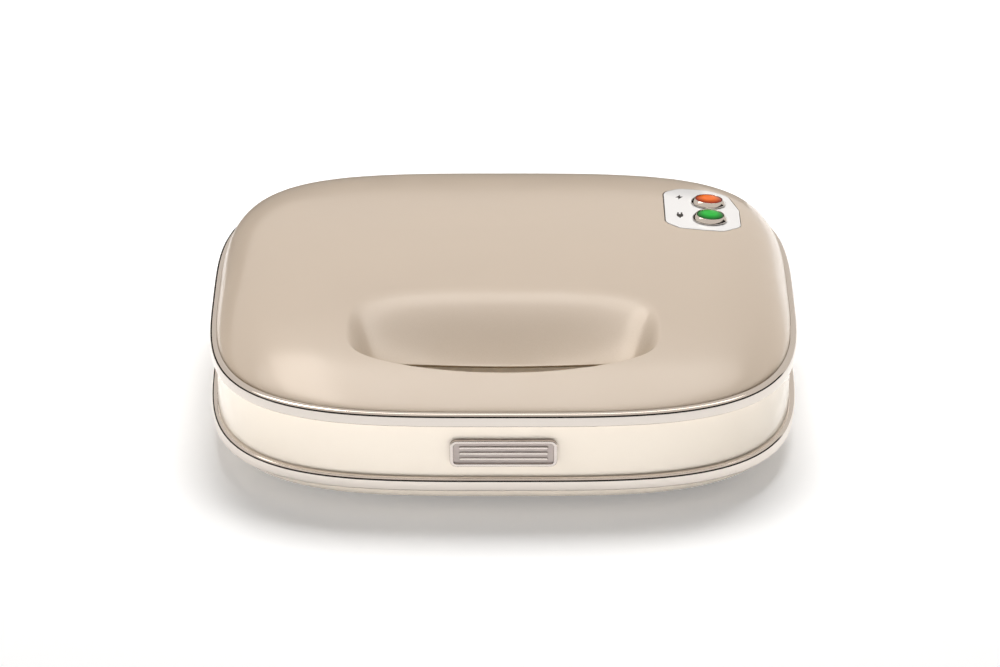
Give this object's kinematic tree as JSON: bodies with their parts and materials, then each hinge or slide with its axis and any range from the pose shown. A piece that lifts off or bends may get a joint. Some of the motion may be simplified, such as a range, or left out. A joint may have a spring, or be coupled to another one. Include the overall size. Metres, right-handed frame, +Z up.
{
  "type": "sandwich toaster",
  "caption": "Low countertop sandwich toaster with a domed lid on rear hinges, a finger scoop as its handle, chrome bands, a lamp panel and cast plates with triangular pockets.",
  "frame": {"origin": "on the table under the middle of the toaster's box, hinges included", "axes": "+Z up, +Y from the handle at the front to the hinges at the rear, +X to the right seen from the front"},
  "size_m": [0.26, 0.25, 0.0768],
  "materials": {
    "cream_shell": "glossy cream enamel look",
    "cream_frame": "moulded heat-resistant plastic",
    "tan_lid": "glossy tan",
    "chrome_trim": "polished",
    "satin_plate": "satin with a bright rim",
    "foot_rubber": "matt",
    "coated_plate": "black non-stick coating on a casting",
    "element_sheath": "oxidised sheath",
    "reflector_sheet": "mill finish sheet",
    "steel_fixings": "zinc plated",
    "ceramic_body": "unglazed",
    "lead_sleeve": "glass-fibre sleeve",
    "white_panel": "glossy white",
    "orange_lens": "clear tinted lens",
    "green_lens": "clear tinted lens",
    "lamp_glass": "clear"
  },
  "bodies": {
    "base": {"base_housing": "cream_shell", "bottom_cover": "cream_shell", "base_band": "chrome_trim", "base_deck": "cream_frame", "nameplate": "satin_plate", "foot_front_left": "foot_rubber", "foot_front_right": "foot_rubber", "foot_rear_left": "foot_rubber", "foot_rear_right": "foot_rubber", "lower_plate": "coated_plate", "lower_element": "element_sheath", "lower_reflector": "reflector_sheet", "lower_plate_screws": "steel_fixings", "thermostat": "ceramic_body", "thermostat_strap": "steel_fixings", "thermal_fuse": "ceramic_body", "terminal_block": "ceramic_body", "base_leads": "lead_sleeve", "cord_gland": "foot_rubber", "base_screws": "steel_fixings", "bracket_screws": "steel_fixings", "hinge_bracket_left": "cream_shell", "hinge_bracket_right": "cream_shell", "hinge_pin_left": "steel_fixings", "hinge_pin_right": "steel_fixings"},
    "lid": {"lid_cover": "tan_lid", "lid_band": "chrome_trim", "lid_frame": "cream_frame", "hinge_arm_left": "steel_fixings", "hinge_arm_right": "steel_fixings", "upper_plate": "coated_plate", "upper_element": "element_sheath", "upper_reflector": "reflector_sheet", "upper_plate_screws": "steel_fixings", "arm_screws": "steel_fixings", "lid_screws": "steel_fixings", "lamp_panel": "white_panel", "lamp_carrier": "cream_frame", "power_bezel": "chrome_trim", "ready_bezel": "chrome_trim", "power_lens": "orange_lens", "ready_lens": "green_lens", "power_lamp": "lamp_glass", "ready_lamp": "lamp_glass"}
  },
  "joints": [
    {"name": "lid_hinge", "type": "hinge", "parent": "base", "child": "lid", "pos_m": [0, 0.11755, 0.0449], "axis": [-1, 0, 0], "range_deg": [0, 100]}
  ]
}
